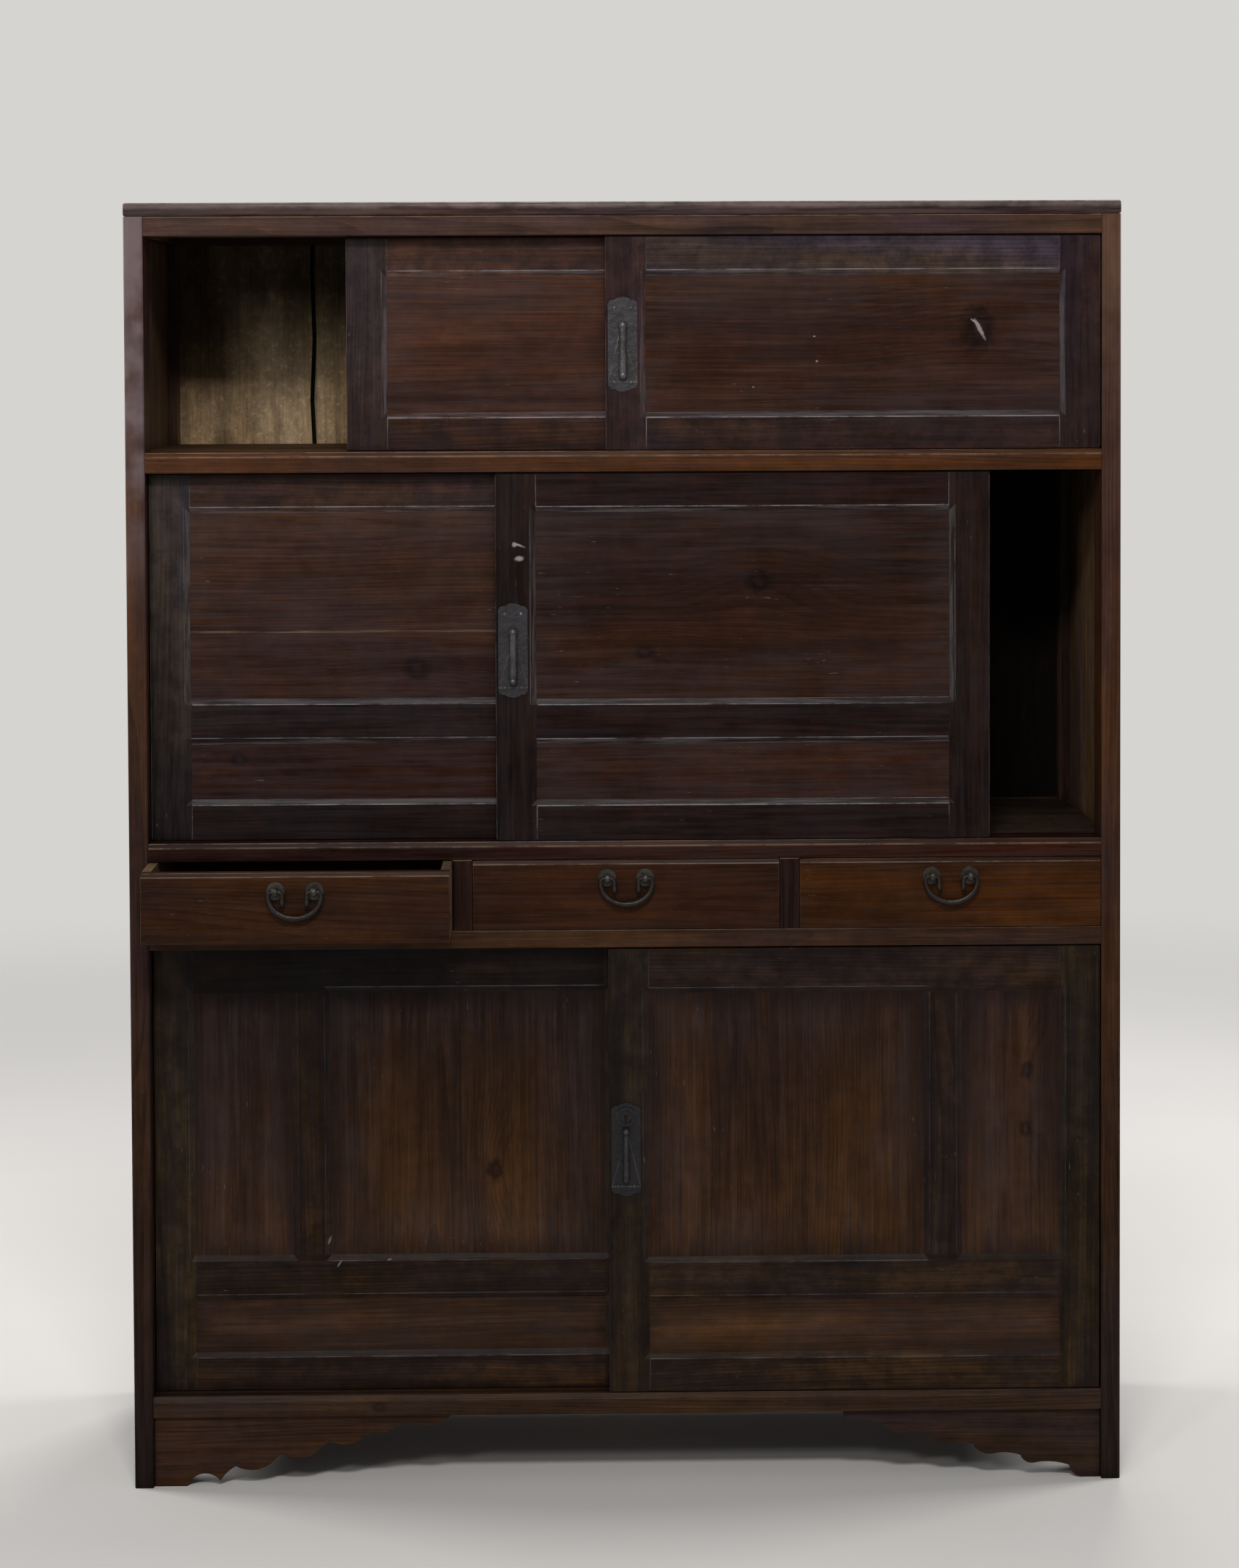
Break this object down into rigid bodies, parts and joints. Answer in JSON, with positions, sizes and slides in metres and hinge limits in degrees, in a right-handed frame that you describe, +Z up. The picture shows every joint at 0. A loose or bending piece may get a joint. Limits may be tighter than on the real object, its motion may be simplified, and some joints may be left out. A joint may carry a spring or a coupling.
{
  "type": "mizuya kitchen cabinet",
  "caption": "Tall free-standing mizuya: tiers of sliding frame-and-panel doors with iron drop pulls, a row of drawers with bail handles, and cusped brackets at the foot.",
  "frame": {"origin": "on the floor, in the middle of the space that the cabinet takes up with its left drawer drawn out as in the rest pose", "axes": "+X to the right seen from the front, +Y to the back, +Z up; the doors slide along X, the drawers come out along -Y"},
  "size_m": [1.2, 0.5134, 1.559],
  "materials": {
    "carcass_wood": "dark lacquered softwood, worn, satin",
    "door_frame_wood": "dark lacquered softwood, worn, satin",
    "door_panel_wood": "red-brown lacquered cedar boards, satin",
    "drawer_front_wood": "brown lacquered softwood, worn, satin",
    "drawer_box_wood": "plain softwood, planed",
    "inner_wood": "plain softwood, aged, matt",
    "side_panel_wood": "stained softwood, matt",
    "plain_wood": "plain softwood, planed",
    "peg_wood": "darkened hardwood",
    "iron": "forged iron, blackened, worn bright on the edges"
  },
  "bodies": {
    "carcass": {"top_board": "carcass_wood", "top_pegs": "peg_wood", "front_left_post": "carcass_wood", "front_right_post": "carcass_wood", "rear_posts": "carcass_wood", "head_rail": "carcass_wood", "upper_sill_rail": "carcass_wood", "middle_sill_rail": "carcass_wood", "drawer_sill_rail": "carcass_wood", "base_rail": "carcass_wood", "side_rails": "carcass_wood", "left_side_panels": "side_panel_wood", "right_side_panels": "side_panel_wood", "rear_rails": "plain_wood", "back_boards": "inner_wood", "upper_shelf": "inner_wood", "middle_shelf": "inner_wood", "drawer_deck": "inner_wood", "bottom_boards": "inner_wood", "shelf_bearers": "plain_wood", "drawer_dividers": "carcass_wood", "drawer_guides": "plain_wood", "left_bracket": "carcass_wood", "right_bracket": "carcass_wood"},
    "upper_left_door": {"upper_left_door_stiles": "door_frame_wood", "upper_left_door_rails": "door_frame_wood", "upper_left_door_panels": "door_panel_wood"},
    "upper_right_door": {"upper_right_door_stiles": "door_frame_wood", "upper_right_door_rails": "door_frame_wood", "upper_right_door_panels": "door_panel_wood", "upper_pull_plate": "iron"},
    "upper_pull_bar": {"upper_pull_bar": "iron"},
    "middle_left_door": {"middle_left_door_stiles": "door_frame_wood", "middle_left_door_rails": "door_frame_wood", "middle_left_door_panels": "door_panel_wood"},
    "middle_right_door": {"middle_right_door_stiles": "door_frame_wood", "middle_right_door_rails": "door_frame_wood", "middle_right_door_panels": "door_panel_wood", "middle_pull_plate": "iron"},
    "middle_pull_bar": {"middle_pull_bar": "iron"},
    "lower_left_door": {"lower_left_door_stiles": "door_frame_wood", "lower_left_door_rails": "door_frame_wood", "lower_left_door_panels": "door_panel_wood"},
    "lower_right_door": {"lower_right_door_stiles": "door_frame_wood", "lower_right_door_rails": "door_frame_wood", "lower_right_door_panels": "door_panel_wood", "lower_pull_plate": "iron"},
    "lower_pull_bar": {"lower_pull_bar": "iron"},
    "left_drawer": {"left_drawer_front": "drawer_front_wood", "left_drawer_box": "drawer_box_wood", "left_drawer_handle_pins": "iron"},
    "left_drawer_bail": {"left_drawer_bail": "iron"},
    "middle_drawer": {"middle_drawer_front": "drawer_front_wood", "middle_drawer_box": "drawer_box_wood", "middle_drawer_handle_pins": "iron"},
    "middle_drawer_bail": {"middle_drawer_bail": "iron"},
    "right_drawer": {"right_drawer_front": "drawer_front_wood", "right_drawer_box": "drawer_box_wood", "right_drawer_handle_pins": "iron"},
    "right_drawer_bail": {"right_drawer_bail": "iron"}
  },
  "joints": [
    {"name": "upper_left_door_slide", "type": "slide", "parent": "carcass", "child": "upper_left_door", "axis": [1, 0, 0], "range_m": [-0.2412, 0.3142]},
    {"name": "upper_right_door_slide", "type": "slide", "parent": "carcass", "child": "upper_right_door", "axis": [1, 0, 0], "range_m": [-0.5542, 0.0012]},
    {"name": "upper_pull_swing", "type": "hinge", "parent": "upper_right_door", "child": "upper_pull_bar", "pos_m": [-0.0015, -0.15375, 1.41], "axis": [-1, 0, 0], "range_deg": [0, 60]},
    {"name": "middle_left_door_slide", "type": "slide", "parent": "carcass", "child": "middle_left_door", "axis": [1, 0, 0], "range_m": [-0.0012, 0.5542]},
    {"name": "middle_right_door_slide", "type": "slide", "parent": "carcass", "child": "middle_right_door", "axis": [1, 0, 0], "range_m": [-0.4202, 0.1352]},
    {"name": "middle_pull_swing", "type": "hinge", "parent": "middle_right_door", "child": "middle_pull_bar", "pos_m": [-0.1355, -0.15375, 1.041], "axis": [-1, 0, 0], "range_deg": [0, 60]},
    {"name": "lower_left_door_slide", "type": "slide", "parent": "carcass", "child": "lower_left_door", "axis": [1, 0, 0], "range_m": [-0.0012, 0.5542]},
    {"name": "lower_right_door_slide", "type": "slide", "parent": "carcass", "child": "lower_right_door", "axis": [1, 0, 0], "range_m": [-0.5542, 0.0012]},
    {"name": "lower_pull_swing", "type": "hinge", "parent": "lower_right_door", "child": "lower_pull_bar", "pos_m": [-0.0015, -0.15375, 0.432], "axis": [-1, 0, 0], "range_deg": [0, 60]},
    {"name": "left_drawer_slide", "type": "slide", "parent": "carcass", "child": "left_drawer", "axis": [0, -1, 0], "range_m": [-0.09, 0.2]},
    {"name": "left_drawer_bail_swing", "type": "hinge", "parent": "left_drawer", "child": "left_drawer_bail", "pos_m": [-0.3936, -0.25075, 0.74195], "axis": [-1, 0, 0], "range_deg": [-9, 90]},
    {"name": "middle_drawer_slide", "type": "slide", "parent": "carcass", "child": "middle_drawer", "axis": [0, -1, 0], "range_m": [0, 0.29]},
    {"name": "middle_drawer_bail_swing", "type": "hinge", "parent": "middle_drawer", "child": "middle_drawer_bail", "pos_m": [0, -0.16075, 0.74195], "axis": [-1, 0, 0], "range_deg": [-9, 90]},
    {"name": "right_drawer_slide", "type": "slide", "parent": "carcass", "child": "right_drawer", "axis": [0, -1, 0], "range_m": [0, 0.29]},
    {"name": "right_drawer_bail_swing", "type": "hinge", "parent": "right_drawer", "child": "right_drawer_bail", "pos_m": [0.3936, -0.16075, 0.74195], "axis": [-1, 0, 0], "range_deg": [-9, 90]}
  ]
}
